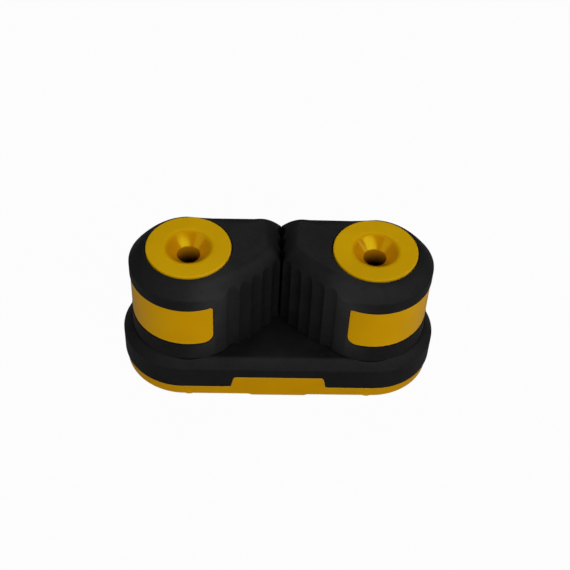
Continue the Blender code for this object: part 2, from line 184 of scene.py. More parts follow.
# Base shell
CAM_CLEARANCE = 0.4  # from the shell's top to the cams
SHELL_EDGE_RISE = 2.1
SHELL_EDGE_INSET = 2.0
SHELL_EDGE_POWER = 1.4
SHELL_WALL = 2.0
SHELL_ROOF = 2.6
SHELL_FOOT_EDGE = 0.15
SHELL_ROWS = 10
SUPPORT = 0.25  # distance from a rounded edge to the row that keeps the flat beside it flat
POST_HOLE_R = 4.8
WASHER_GROOVE = (8.4, 11.8)
WASHER_GROOVE_DEPTH = 0.8
LEG_HOLE_R = 0.95
ROUND_END_TURN = 3.0  # degrees between columns round the ends of the shell and the plate
STRAIGHT_COLUMNS = 41

# Base plate
PLATE_TOP = 2.7
PAD_HEIGHT = 0.3
PLATE_EDGE = 0.14
TAB_TOP = 5.8
TAB_HALF_TOP = 9.5
TAB_HALF_FOOT = 10.1
TAB_CORNER = 0.9
TAB_FOOT_CORNER = 0.25
TAB_THICK = 1.4
TAB_STEP = 0.05  # keeps the tab's back and the plate's top from sharing an edge
TAB_GAP = 0.18
TAB_RUN = 2.0  # length of the level line beyond the tab's foot
TAB_CORNER_STEPS = 7
PAD_HALF = (6.5, 12.9)
PAD_SLOPE = 0.5
PAD_CORNER = 1.0
SCREW_PAD_SLOPE = 0.3
FOOT_R = 1.7
FOOT_Y = 11.3
FOOT_EDGE_R = 0.2
BOSS_R = 5.2
BOSS_TOP = 6.3
BOSS_EDGE = 0.3
SCREW_HOLE_R = 2.75

# Looks: pairs of colours are the two ends of a material's mottling
BLACKS = ((0.0042, 0.0042, 0.0045, 1), (0.0118, 0.0118, 0.0122, 1))
# painted highlight on the edges of the black pieces
BLACK_EDGE_HIGHLIGHT = (0.014, 0.014, 0.0145, 1)
# lighter grey of the painted sheen on the cams
BLACK_SHEEN = (0.046, 0.046, 0.0462, 1)
BLACK_SPECULAR = 0.22
DUST_COLOR = (0.12, 0.12, 0.115, 1)
# these yellows are set apart partly as painted light: the caps' yellower tone goes with the brighter light
# on their flat tops, and the bands are made brighter to make up for light they lack
CAP_YELLOWS = ((0.74, 0.41, 0.0003, 1), (0.82, 0.465, 0.0006, 1))
BAND_YELLOWS = ((0.86, 0.43, 0.0003, 1), (0.93, 0.48, 0.0006, 1))
BASE_YELLOWS = ((0.78, 0.375, 0.0003, 1), (0.85, 0.42, 0.0006, 1))
YELLOW_SPECULAR = 0.07
YELLOW_EDGE_SPECULAR = 0.7
YELLOW_SHEEN = (1.0, 1.0, 0.02, 1)
# painted highlight: the pale colour of yellow edges
YELLOW_RIM_HIGHLIGHT = (0.9, 0.78, 0.3, 1)
DIRT_COLOR = (0.2, 0.09, 0.004, 1)
# painted shade: the funnel's darker, more orange yellow
FUNNEL_SHADE_COLOR = (0.66, 0.28, 0.001, 1)
FUNNEL_SPECULAR = 1.0
FUNNEL_POLISH = 0.14  # the funnel is this much less rough than the cap
FUNNEL_EDGE = (1.04, 0.86)  # shares of the lip's radius between which the funnel's finish starts
BORE_EDGE_SHARES = (1.08, 1.02)  # the same for the bore
# painted shade down a cap's bore
BORE_SHADE_COLOR = (0.02, 0.008, 0.001, 1)
STEELS = ((0.46, 0.46, 0.47, 1), (0.62, 0.62, 0.63, 1))
WHITES = ((0.68, 0.67, 0.62, 1), (0.8, 0.79, 0.75, 1))
BALL_GREYS = ((0.05, 0.05, 0.055, 1), (0.075, 0.075, 0.08, 1))
MOTTLE_RANGE = (0.3, 0.7)  # the part of a noise's range that holds nearly all of it

# Stage
FLOOR_SIZE = 3.0  # metres
FLOOR_COLOR = (0.42, 0.42, 0.42, 1)
FLOOR_GLOW = 0.97
AMBIENT = 0.02
WHITE_LIGHT = (1, 1, 1, 1)
LIGHT_DISTANCE = 0.8  # metres
LIGHTS = (  # name, azimuth and elevation in degrees, size in metres, power in watts
    ("key", 24, 40, (1.2, 0.3), 3.7),
    ("back", 180, 62, (0.4, 0.4), 1.4),
    ("left", -70, 38, (0.5, 0.4), 0.55),
    ("low_left", -50, 20, (0.3, 0.3), 0.4),
    ("low_right", 80, 18, (0.4, 0.3), 0.65),
    ("under", 180, -75, (0.25, 0.25), 1.6),
)
LIGHT_HEIGHT = 0.02  # height of the point that the lights face
CAMERA_AZIMUTH = -3.1
CAMERA_ELEVATION = 46.84
CAMERA_ROLL = 3.2
CAMERA_DISTANCE = 253.5
CAMERA_AIM = (1.5, 10.4, 9.7)
CAMERA_LENS = 71.86


# Paths


def circle(radius, steps):
    turns = np.linspace(0, 2 * pi, steps, endpoint=False)
    return np.stack([radius * np.cos(turns), radius * np.sin(turns)], axis=1)


def level(points, height):
    """The 2D points at one height, or at one height each."""
    points = np.asarray(points, float)
    return np.column_stack([points, np.broadcast_to(height, len(points))])


def polar(radius, angle):
    return np.array([radius * cos(radians(angle)), radius * sin(radians(angle))])


def sweep(center, radius, first, last, hollow=False):
    """Points on an arc from first to last, which runs left round its centre, or right if it's hollow."""
    start = atan2(first[1] - center[1], first[0] - center[0])
    turn = atan2(last[1] - center[1], last[0] - center[0]) - start
    turn = -((-turn) % (2 * pi)) if hollow else turn % (2 * pi)
    count = max(2, ceil(abs(turn) * radius / ARC_STEP), ceil(degrees(abs(turn)) / ARC_TURN))
    turns = start + turn * np.linspace(0, 1, count + 1)
    return np.stack([center[0] + radius * np.cos(turns), center[1] + radius * np.sin(turns)], axis=1)


def touching_arcs(first, arcs, last):
    """Points along arcs that touch in turn, each (centre, radius); a hollow arc has a negative radius."""
    stops = [np.array(first, float)]
    for (center, radius), (other, other_radius) in zip(arcs, arcs[1:]):
        center, other = np.array(center), np.array(other)
        stops.append(center + (other - center) * radius / (radius - other_radius))
    stops.append(np.array(last, float))
    runs = []
    for (center, radius), start, end in zip(arcs, stops, stops[1:]):
        runs.append(sweep(center, abs(radius), start, end, radius < 0)[:-1])
    return np.concatenate(runs)


def meet(a, a_reach, b, b_reach, near):
    """The point a_reach from a and b_reach from b that lies on near's side."""
    a, b, near = np.array(a, float), np.array(b, float), np.array(near, float)
    span = np.linalg.norm(b - a)
    along = (a_reach**2 - b_reach**2 + span**2) / (2 * span)
    across = sqrt(a_reach**2 - along**2)
    forward = (b - a) / span
    left = np.array([-forward[1], forward[0]])
    middle = a + forward * along
    return min((middle + left * across, middle - left * across), key=lambda p: np.linalg.norm(p - near))


def soften(corners, closed=True, steps=6):
    """Points of a path whose corners (x, y, radius) are rounded."""
    points = []
    count = len(corners)
    for i, (x, y, radius) in enumerate(corners):
        here = np.array([x, y], float)
        if not radius or (not closed and i in (0, count - 1)):
            points.append(here)
            continue
        back = np.array(corners[i - 1][:2], float) - here
        ahead = np.array(corners[(i + 1) % count][:2], float) - here
        back /= np.linalg.norm(back)
        ahead /= np.linalg.norm(ahead)
        half = acos(max(-1.0, min(1.0, float(back @ ahead)))) / 2
        middle = (back + ahead) / np.linalg.norm(back + ahead)
        center = here + middle * radius / sin(half)
        reach = radius / tan(half)
        start, end = here + back * reach - center, here + ahead * reach - center
        for share in np.linspace(0, 1, steps + 1):
            angle = (pi - 2 * half) * share
            cross = start[0] * end[1] - start[1] * end[0]
            angle = angle if cross > 0 else -angle
            turned_x = start[0] * cos(angle) - start[1] * sin(angle)
            turned_y = start[0] * sin(angle) + start[1] * cos(angle)
            points.append(center + np.array([turned_x, turned_y]))
    return np.array(points)


def outward(points):
    """Unit normals that point out of a closed outline that runs left round."""
    ahead = np.roll(points, -1, axis=0) - np.roll(points, 1, axis=0)
    ahead /= np.linalg.norm(ahead, axis=1, keepdims=True)
    return np.stack([ahead[:, 1], -ahead[:, 0]], axis=1)


# Meshes


def new_object(name, data, side=0):
    """An object for a mesh, light or camera; with a side, it stands on the axis of that side's cam."""
    item = bpy.data.objects.new(name, data)
    bpy.context.scene.collection.objects.link(item)
    if side:
        item.location.x = AXIS_X[side]
    return item


def finish_mesh(mesh):
    form = bmesh.new()
    form.from_mesh(mesh)
    bmesh.ops.recalc_face_normals(form, faces=form.faces)
    form.to_mesh(mesh)
    form.free()
    mesh.shade_smooth()
    mesh.set_sharp_from_angle(angle=radians(SMOOTH_ANGLE))
    return mesh


def mesh_of(name, points, faces, side):
    """A mesh of points in millimetres, mirrored for the right side."""
    points = np.array(points, float) * MM
    if side > 0:
        points[:, 0] *= -1
    mesh = bpy.data.meshes.new(name)
    mesh.from_pydata(points.tolist(), [], faces)
    return finish_mesh(mesh)


def stack(name, rings, side=0, wrap=False):
    """A solid through rings of equal length; the first and last are filled, or joined to each other."""
    count, rows = len(rings[0]), len(rings)
    faces = []
    for row in range(rows if wrap else rows - 1):
        low, high = row * count, (row + 1) % rows * count
        for i in range(count):
            j = (i + 1) % count
            faces.append((low + i, low + j, high + j, high + i))
    if not wrap:
        faces.append(tuple(range(count))[::-1])
        faces.append(tuple(range((rows - 1) * count, rows * count)))
    return new_object(name, mesh_of(name, np.concatenate(rings), faces, side), side)


def turned(name, profile, side, steps=TURNED_STEPS):
    """A closed profile of (radius, height) turned about the cam's axis."""
    rings = [level(circle(radius, steps), height) for radius, height in profile]
    return stack(name, rings, side, wrap=True)


def prism(name, points, low, high, side):
    """A solid with one closed outline at two heights."""
    return stack(name, [level(points, low), level(points, high)], side)


def tube(name, path, radius, side):
    """A round wire along a 3D path, with rounded ends."""
    end_share, end_length = WIRE_END
    path = np.array(path, float)
    ahead = np.gradient(path, axis=0)
    ahead /= np.linalg.norm(ahead, axis=1, keepdims=True)
    across = np.cross(ahead[0], (1.0, 0.0, 0.0))
    turns = np.linspace(0, 2 * pi, WIRE_SIDES, endpoint=False)[:, None]
    rings = []
    for i, (point, forward) in enumerate(zip(path, ahead)):
        across = across - forward * (across @ forward)
        across /= np.linalg.norm(across)
        other = np.cross(forward, across)
        ring = radius * (np.cos(turns) * across + np.sin(turns) * other)
        rings.append(point + ring)
        if i == 0:
            rings.insert(0, point + ring * end_share - forward * radius * end_length)
    rings.append(path[-1] + ring * end_share + ahead[-1] * radius * end_length)
    return stack(name, rings, side)


def combine(target, others, operation):
    """Cuts the others from the target, or joins them to it, and removes them."""
    for other in others:
        step = target.modifiers.new(other.name, "BOOLEAN")
        step.operation = operation
        step.object = other
        step.solver = "EXACT"
    bpy.context.view_layer.update()
    evaluated = target.evaluated_get(bpy.context.evaluated_depsgraph_get())
    result = bpy.data.meshes.new_from_object(evaluated)
    target.modifiers.clear()
    target.data = result
    for other in others:
        bpy.data.objects.remove(other)
    result.shade_smooth()
    result.set_sharp_from_angle(angle=radians(SMOOTH_ANGLE))
    return target


def even_normals(item):
    """Large flat faces keep their own normal beside a small rounded edge."""
    step = item.modifiers.new("even normals", "WEIGHTED_NORMAL")
    step.mode = "FACE_AREA"
    step.weight = 50
    step.keep_sharp = True
    return item


# Cam


def face_crests():
    """Tooth crests about the cam's axis: along the curved gripping face, then back along the nose."""
    crests = [
        np.array(FACE_CENTER) + polar(FACE_R, FACE_START + (FACE_END - FACE_START) * i / FACE_FLUTES)
        for i in range(FACE_FLUTES + 1)
    ]
    return crests + [crests[-1] + (0, NOSE_PITCH * (i + 1)) for i in range(NOSE_FLUTES)]


def cam_outline():
    """The cam's plan with its flutes, running left round from the rearmost point of its disc."""
    crests = face_crests()
    flutes = [meet(a, FLUTE_R, b, FLUTE_R, (a + b) * 2) for a, b in zip(crests, crests[1:])]
    reach = FLUTE_R + CREST_R
    tips = [meet((0, 0), CAM_R - CREST_R, flutes[0], reach, crests[0])]
    tips += [meet(a, reach, b, reach, (0, 0)) for a, b in zip(flutes, flutes[1:])]
    last_x = NOSE_X - CREST_R
    last_y = flutes[-1][1] + sqrt(reach**2 - (flutes[-1][0] - last_x) ** 2)
    tips.append(np.array([last_x, last_y]))
    arcs = [((0, 0), CAM_R)]
    for tip, flute in zip(tips, flutes):
        arcs += [(tip, CREST_R), (flute, -FLUTE_R)]
    arcs.append((tips[-1], CREST_R))
    teeth = touching_arcs((0, CAM_R), arcs, (NOSE_X, last_y))
    edge_x = NOSE_X - NOSE_EDGE_R
    corner_reach = NOSE_CORNER_R - NOSE_EDGE_R
    edge_y = NOSE_CORNER[1] + sqrt(corner_reach**2 - (edge_x - NOSE_CORNER[0]) ** 2)
    nose_arcs = [((edge_x, edge_y), NOSE_EDGE_R), (NOSE_CORNER, NOSE_CORNER_R)]
    nose = touching_arcs((NOSE_X, edge_y), nose_arcs, (NOSE_CORNER[0], CAM_R))
    count = ceil(NOSE_CORNER[0] / LINE_STEP)
    back_x = np.linspace(NOSE_CORNER[0], 0, count, endpoint=False)
    back = np.stack([back_x, np.full(count, CAM_R)], axis=1)
    return np.concatenate([teeth, [(NOSE_X, last_y)], nose, back])


def soft_min(a, b):
    """The smaller of two distances, rounded off where they're nearly equal."""
    join = np.clip(BLEND_WIDTH - np.abs(a - b), 0, None) / BLEND_WIDTH
    return np.minimum(a, b) - join**2 * BLEND_WIDTH / 4


def shoulder_depth(points):
    """How far each point lies inside the line that the cam's crests touch."""
    x, y = points[:, 0], points[:, 1]
    disc = CAM_R - np.hypot(x, y)
    corner_x, corner_y = NOSE_CORNER
    corner = NOSE_CORNER_R - np.hypot(x - corner_x, y - corner_y)
    back = np.where((x > corner_x) & (y > corner_y), corner, CAM_R - y)
    face = FACE_R - np.hypot(x - FACE_CENTER[0], y - FACE_CENTER[1])
    body = soft_min(soft_min(back, NOSE_X - x), face)
    joined = np.where(y < 0, -soft_min(-disc, -body), np.maximum(disc, body))
    turn = np.degrees(np.arctan2(y, x))
    return np.clip(np.where((turn > DISC_FROM) & (turn < 90), joined, disc), 0, None)


def smooth(share):
    """Eases a share in and out between 0 and 1."""
    share = np.clip(share, 0, 1)
    return share**2 * (3 - 2 * share)


def cam_top(points, top):
    """Height of the cam's upper surface over each point."""
    turn = np.degrees(np.arctan2(points[:, 1], points[:, 0]))
    width = np.interp(turn, SHOULDER_TURNS, SHOULDER_WIDTHS)
    share = np.minimum(shoulder_depth(points) / width, 1.0)
    drop = np.interp(turn, SHOULDER_TURNS, SHOULDER_DROPS)
    return top - drop * (1 - share) ** np.interp(turn, SHOULDER_TURNS, SHOULDER_POWERS)


def eased(start, corner, end):
    """Rows that round the corner between two rows, without the end rows."""
    rows = []
    for share in (0.25, 0.5, 0.75):
        rows.append((1 - share) ** 2 * start + 2 * share * (1 - share) * corner + share**2 * end)
    return rows


def cam_rings(low, top):
    """Rings of the cam from the bore's lower edge out, up the wall, over the shoulder and down the bore."""
    outline = cam_outline()
    normals = outward(outline)
    foot = level(outline - normals * FOOT_EDGE, low)
    wall_foot = level(outline, low + FOOT_EDGE)
    brim = cam_top(outline, top)
    wall_top = level(outline, brim - TOP_EDGE)
    inner = outline - normals * TOP_EDGE
    shoulder = level(inner, cam_top(inner, top))
    rings = [foot, *eased(foot, level(outline, low), wall_foot), wall_foot]
    rings += [wall_top, *eased(wall_top, level(outline, brim), shoulder), shoulder]
    reach = np.linalg.norm(inner, axis=1)
    inward = -inner / reach[:, None]
    length = reach - BORE_R - BORE_EDGE
    dome = np.minimum(DOME_REACH, length * DOME_SHARE)
    for i in range(1, DOME_ROWS + 1):
        points = inner + inward * (dome * i / DOME_ROWS)[:, None]
        rings.append(level(points, cam_top(points, top)))
    for i in range(1, FLAT_ROWS + 1):
        points = inner + inward * (dome + (length - dome) * i / FLAT_ROWS)[:, None]
        rings.append(level(points, cam_top(points, top)))
    lip = rings[-1]
    turns = np.arctan2(lip[:, 1], lip[:, 0])
    bore = BORE_R * np.stack([np.cos(turns), np.sin(turns)], axis=1)
    drop = level(bore, lip[:, 2] - BORE_EDGE)
    rings += [*eased(lip, level(bore, lip[:, 2]), drop), drop]
    return [level(bore, low), *rings]


def mark_painted_sheen(item, side):
    """Gives a cam's points an attribute that holds their share of painted sheen, a lighter grey round the
    corner of the gripping face.
    """
    mesh = item.data
    points = np.empty(len(mesh.vertices) * 3)
    mesh.vertices.foreach_get("co", points)
    points = points.reshape(-1, 3) / MM
    center_x, center_y = polar(CAM_R, SHEEN_TURN)
    reach = np.hypot(-side * points[:, 0] - center_x, points[:, 1] - center_y)
    sheen_share = smooth(1 - reach / SHEEN_REACH) * np.interp(points[:, 2], SHEEN_HEIGHTS, SHEEN_SHARES)
    mesh.attributes.new("painted_sheen", "FLOAT", "POINT").data.foreach_set("value", sheen_share)


def stop_groove(low, high, side):
    """Cutter for the arc slot that the stop lug runs in."""
    half = STOP_R + SLOT_GAP
    travel = PIVOTS[side]["range_deg"][1]
    front = STOP_ANGLE - travel
    near, far = STOP_REACH - half, STOP_REACH + half
    points = [
        sweep((0, 0), far, polar(far, front), polar(far, STOP_ANGLE)),
        sweep(polar(STOP_REACH, STOP_ANGLE), half, polar(far, STOP_ANGLE), polar(near, STOP_ANGLE))[1:],
        sweep((0, 0), near, polar(near, STOP_ANGLE), polar(near, front), hollow=True)[1:],
        sweep(polar(STOP_REACH, front), half, polar(near, front), polar(far, front))[1:-1],
    ]
    return prism("stop_groove", np.concatenate(points), low - CUT_MARGIN, high, side)


def leg_slot(low, high, side):
    """Cutter for the slot that takes the spring's upper leg."""
    half = WIRE_R + SLOT_GAP
    turn = radians(COIL_START + COIL_SWEEP)
    forward = np.array([cos(turn), sin(turn)])
    left = np.array([-forward[1], forward[0]])
    near, far = BORE_R - CUT_MARGIN, SLOT_REACH
    points = [forward * near - left * half, forward * far - left * half]
    points += [forward * far + left * half, forward * near + left * half]
    return prism("leg_slot", np.array(points), low - CUT_MARGIN, high, side)


def cam(side):
    """A cam with its band's recess, its stop's groove and the slot for its spring's upper leg."""
    label = LABELS[side]
    low, high = box_mm(f"{label}_cam")
    band_low, band_high = box_mm(f"{label}_side_band")
    spring_high = box_mm(f"{label}_spring")[1].z
    stop_high = box_mm("base_shell")[1].z
    body = stack(f"{label}_cam_body", cam_rings(low.z, high.z), side, wrap=True)
    recess = panel(
        "band_recess",
        (BAND_R - BAND_THICK - BAND_GAP, CAM_R + CUT_MARGIN),
        (band_low.z - BAND_GAP, band_high.z + BAND_GAP),
        side,
        margin=BAND_GAP,
    )
    groove = stop_groove(low.z, stop_high + SLOT_GAP, side)
    slot = leg_slot(low.z, spring_high + SLOT_GAP, side)
    combine(body, [recess, groove, slot], "DIFFERENCE")
    # paints a lighter grey sheen round the corner of the cam's gripping face
    mark_painted_sheen(body, side)
    return settle(body, BLACK, f"{label}_cam", f"{label}_cam")


# Side band


def corner_inset(height, radius):
    """How far a rounded corner pulls the end in at a height over the corner's foot."""
    rest = np.clip(radius - height, 0, radius)
    return radius - np.sqrt(radius**2 - rest**2)


def spread(ends, step):
    """Shares from 0 to 1 that begin with ends, mirror them at 1 and are about a step apart between."""
    first, last = ends[-1], 1 - ends[-1]
    count = max(2, ceil((last - first) / step))
    return np.concatenate([ends, np.linspace(first, last, count + 1)[1:-1], (1 - ends)[::-1]])


def panel(name, radii, heights, side, margin=0.0, edge=0.0):
    """A curved panel round the cam's outside with rounded corners, and a rounded outer edge."""
    inner_r, outer_r = radii
    low, high = heights
    length = radians(BAND_FRONT - BAND_REAR) * BAND_R + 2 * margin
    lower, upper = BAND_LOWER_CORNER + margin, BAND_UPPER_CORNER + margin
    turns = np.radians(np.linspace(0, 90, CORNER_STEPS + 1))
    heights = [low + lower * (1 - np.cos(turns)), high - upper * (1 - np.cos(turns))]
    if edge:
        edge_rows = edge * (1 - np.cos(turns))
        heights += [low + edge_rows, high - edge_rows]
    heights.append(np.linspace(low + lower, high - upper, BAND_ROWS))
    heights = np.unique(np.round(np.concatenate(heights), 3))
    ends = edge * (1 - np.cos(turns)) if edge else np.array([0.0, RECESS_END])
    share = spread(ends / length, BAND_STEP / length)
    inset = np.maximum(corner_inset(heights - low, lower), corner_inset(high - heights, upper))
    along = inset[:, None] + (length - 2 * inset[:, None]) * share[None, :]
    up = np.broadcast_to(heights[:, None], along.shape)
    radius = outer_r - edge_drop(along, up, length, (low, high), (lower, upper), edge)
    angle = np.radians(BAND_FRONT) + (margin - along) / BAND_R
    front = np.stack([radius * np.cos(angle), radius * np.sin(angle), up], axis=-1)
    back = np.stack([inner_r * np.cos(angle), inner_r * np.sin(angle), up], axis=-1)
    return new_object(name, mesh_of(name, *closed_sheet(front, back), side), side)


def edge_drop(along, up, length, heights, corners, edge):
    """How far the panel's outer surface falls back near its edge."""
    if not edge:
        return np.zeros_like(along)
    low, high = heights
    lower, upper = corners
    end = np.minimum(along, length - along)
    inside = np.minimum(end, np.minimum(up - low, high - up))
    for radius, rise in ((lower, up - low), (upper, high - up)):
        in_corner = (end < radius) & (rise < radius)
        inside = np.where(in_corner, radius - np.hypot(radius - end, radius - rise), inside)
    rest = np.clip(edge - inside, 0, edge)
    return edge - np.sqrt(edge**2 - rest**2)


def closed_sheet(front, back):
    """Points and faces of a solid between two grids of the same shape."""
    rows, columns = front.shape[:2]
    points = np.concatenate([front.reshape(-1, 3), back.reshape(-1, 3)])
    other = rows * columns
    faces = []
    for row in range(rows - 1):
        for i in range(columns - 1):
            a = row * columns + i
            quad = (a, a + 1, a + columns + 1, a + columns)
            faces += [quad, tuple(v + other for v in quad[::-1])]
    rim = list(range(columns)) + [row * columns + columns - 1 for row in range(1, rows)]
    rim += [(rows - 1) * columns + i for i in range(columns - 2, -1, -1)]
    rim += [row * columns for row in range(rows - 2, 0, -1)]
    for a, b in zip(rim, rim[1:] + rim[:1]):
        faces.append((a, b, b + other, a + other))
    return points, faces


def side_band(side):
    label = LABELS[side]
    low, high = box_mm(f"{label}_side_band")
    radii = (BAND_R - BAND_THICK, BAND_R)
    band = panel(f"{label}_band_inlay", radii, (low.z, high.z), side, edge=BAND_EDGE)
    return settle(band, YELLOW_BAND, f"{label}_cam", f"{label}_side_band")


# Cap, bearing and spring


def cap(side):
    """Flanged bush: a countersunk head and a hollow stem."""
    label = LABELS[side]
    low, high = box_mm(f"{label}_cap")
    under = high.z - CAP_HEAD
    corners = [
        (CAP_LIP_R, high.z, CAP_LIP_ROUND),
        (CAP_R, high.z, CAP_EDGE),
        (CAP_R, under, SMALL_EDGE),
        (CAP_STEM_R, under, SMALL_EDGE),
        (CAP_STEM_R, low.z, SMALL_EDGE),
        (CAP_HOLE_R, low.z, SMALL_EDGE),
        (CAP_HOLE_R, high.z - CAP_SINK, SMALL_EDGE),
    ]
    head = turned(f"{label}_cap_bush", soften(corners), side)
    return settle(head, YELLOW_CAP, "base", f"{label}_cap")


def post(side):
    """Steel sleeve with a foot flange."""
    label = LABELS[side]
    low, high = box_mm(f"{label}_post")
    inner, outer = POST_R
    foot_r, foot_thick = POST_FOOT
    corners = [
        (outer, high.z, SMALL_EDGE),
        (outer, low.z + foot_thick, SMALL_EDGE),
        (foot_r, low.z + foot_thick, SMALL_EDGE),
        (foot_r, low.z, SMALL_EDGE),
        (inner, low.z, SMALL_EDGE),
        (inner, high.z, SMALL_EDGE),
    ]
    profile = soften(corners, steps=SMALL_CORNER_STEPS)
    sleeve = turned(f"{label}_post_sleeve", profile, side, RING_STEPS)
    return settle(sleeve, STEEL, "base", f"{label}_post")


def bearing_ring(side, kind, radii, body):
    """A flat ring with rounded edges in place of a CAD ring."""
    name = f"{LABELS[side]}_{kind}"
    low, high = box_mm(name)
    edge = (high.z - low.z) * RING_EDGE_SHARE
    inner, outer = radii
    corners = [(outer, high.z, edge), (outer, low.z, edge), (inner, low.z, edge), (inner, high.z, edge)]
    ring = turned(f"{name}_ring", soften(corners, steps=SMALL_CORNER_STEPS), side, RING_STEPS)
    return settle(ring, WHITE, body, name)


def ball_mesh(radius):
    form = bmesh.new()
    bmesh.ops.create_icosphere(form, subdivisions=BALL_SUBDIVISIONS, radius=radius)
    mesh = bpy.data.meshes.new("bearing_ball")
    form.to_mesh(mesh)
    form.free()
    mesh.shade_smooth()
    return mesh


def balls(side):
    """Finer balls in place of the CAD balls, all with one mesh."""
    body = f"{LABELS[side]}_balls"
    nodes = frame["record"]["behaviour"]["bodies"][body]
    names = [name for name in nodes if "_ball_" in name and "spacer" not in name]
    low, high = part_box(names[0])
    mesh = ball_mesh((high.z - low.z) / 2)
    mesh.materials.append(BALL)
    for name in names:
        low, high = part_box(name)
        ball = new_object(f"{name}_fine", mesh)
        ball.location = (low + high) / 2
        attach(ball, body)
        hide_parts(name)


def spring_path(low, high):
    """Centreline from the foot's end up into the coil and out along the upper leg."""
    bottom, top = low + COIL_BOTTOM, high - COIL_TOP
    start = polar(COIL_R, COIL_START)
    lead = [(*start, z) for z in np.linspace(low, bottom - BEND_R, LEAD_STEPS)]
    count = round(COIL_SWEEP / COIL_STEP)
    coil = []
    for i in range(2, count + 1):
        place = polar(COIL_R, COIL_START + COIL_SWEEP * i / count)
        coil.append((*place, bottom + (top - bottom) * i / count))
    turn = COIL_START + COIL_SWEEP
    leg = [(*polar(r, turn), top) for r in np.linspace(COIL_R, SPRING_REACH, LEG_STEPS)[1:]]
    return lead + coil + leg


def spring(side):
    """Torsion spring between the base and its cam, drawn in place at rest."""
    label = LABELS[side]
    low, high = box_mm(f"{label}_spring")
    wire = tube(f"{label}_spring_wire", spring_path(low.z, high.z), WIRE_R, side)
    wire.data.materials.append(STEEL)
    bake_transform(wire)
    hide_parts(f"{label}_spring")
    return wire


# Base


def stadium_columns(node, line):
    """Unit plan of a stadium: arc centres and outward directions, with columns at the line's x values."""
    high = box_mm(node)[1]
    radius = high.y
    arc_x = high.x - radius
    turns = np.radians(np.linspace(-90, 90, ceil(180 / ROUND_END_TURN) + 1))
    right = np.stack([np.cos(turns), np.sin(turns)], axis=1)
    straight = np.linspace(-arc_x, arc_x, STRAIGHT_COLUMNS)[1:-1]
    xs = np.unique(np.concatenate([line, straight]))
    front = [((x, 0), (0, -1)) for x in xs]
    rear = [((x, 0), (0, 1)) for x in xs[::-1]]
    east = [((arc_x, 0), d) for d in right]
    west = [((-arc_x, 0), -d) for d in right]
    columns = front + east + rear + west
    centers = np.array([c for c, _ in columns], float)
    outs = np.array([d for _, d in columns], float)
    return centers, outs, radius


def tab_line(half_foot, half_top, low, high):
    """Outline of a tapered tab from left to right, as (x, height) with rounded corners."""
    corners = [
        (-half_foot - TAB_RUN, low, 0),
        (-half_foot, low, TAB_FOOT_CORNER),
        (-half_top, high, TAB_CORNER),
        (half_top, high, TAB_CORNER),
        (half_foot, low, TAB_FOOT_CORNER),
        (half_foot + TAB_RUN, low, 0),
    ]
    return soften(corners, closed=False, steps=TAB_CORNER_STEPS)


def tab_heights(line, centers, outs):
    """Height of the tab's line over each column of the plan; the round ends stay at its foot."""
    heights = np.interp(centers[:, 0], line[:, 0], line[:, 1])
    return np.where(np.abs(outs[:, 1]) > 0.999, heights, line[0, 1])


def base_shell():
    """Hollow deck body with a rounded top edge, seats for the cams and a lug that stops each of them."""
    stop_high = box_mm("base_shell")[1].z
    top = box_mm("left_cam")[0].z - CAM_CLEARANCE
    bottom = PLATE_TOP + TAB_GAP
    slope = (TAB_HALF_FOOT - TAB_HALF_TOP) / (TAB_TOP - PLATE_TOP)
    widen = TAB_GAP - slope * TAB_GAP  # the tab's outline moves up by the gap as well
    line = tab_line(TAB_HALF_FOOT + widen, TAB_HALF_TOP + widen, bottom, TAB_TOP + TAB_GAP)
    centers, outs, radius = stadium_columns("base_shell", line[:, 0])
    foot = tab_heights(line, centers, outs)
    edge = SHELL_FOOT_EDGE

    def row(inset, height):
        return level(centers + outs * (radius - inset), height)

    roof = row(SHELL_WALL, top - SHELL_ROOF)
    inner_foot = row(SHELL_WALL, foot)
    outer_foot = row(edge, foot)
    wall_foot = row(0, foot + edge)
    rings = [roof, inner_foot, outer_foot, *eased(outer_foot, row(0, foot), wall_foot), wall_foot]
    for i in range(SHELL_ROWS + 1):
        share = i / SHELL_ROWS
        height = top - SHELL_EDGE_RISE * (1 - share) ** SHELL_EDGE_POWER
        rings.append(row(SHELL_EDGE_INSET * share, height))
    rings.append(row(SHELL_EDGE_INSET + SUPPORT, top))
    shell = stack("deck_shell", rings)
    cutters, lugs = [], []
    for side in SIDES:
        cutters += shell_cutters(side, top)
        lugs.append(stop_lug(side, top, stop_high))
    combine(shell, cutters, "DIFFERENCE")
    combine(shell, lugs, "UNION")
    return settle(shell, BLACK, "base", "base_shell")


def shell_cutters(side, top):
    """Cutters for the washer's groove, the post's hole and the hole for the spring's foot."""
    inner, outer = WASHER_GROOVE
    floor = top - WASHER_GROOVE_DEPTH
    low, high = top - SHELL_ROOF - CUT_MARGIN, top + CUT_MARGIN
    profile = [(outer, high), (outer, floor), (inner, floor), (inner, high)]
    groove = turned("washer_groove", profile, side, RING_STEPS)
    hole = prism("post_hole", circle(POST_HOLE_R, RING_STEPS), low, high, side)
    leg = circle(LEG_HOLE_R, HOLE_STEPS) + polar(COIL_R, COIL_START)
    return [groove, hole, prism("leg_hole", leg, low, high, side)]


def stop_lug(side, top, high):
    """The lug that limits a cam's turn, with a rounded top edge."""
    place = polar(STOP_REACH, STOP_ANGLE)
    middle = STOP_EDGE * STOP_EDGE_BOW
    rows = [(STOP_R, top - UNION_DEPTH), (STOP_R, high - STOP_EDGE)]
    rows += [(STOP_R - middle, high - middle), (STOP_R - STOP_EDGE, high)]
    rings = [level(circle(radius, HOLE_STEPS) + place, height) for radius, height in rows]
    return stack("stop_lug", rings, side)


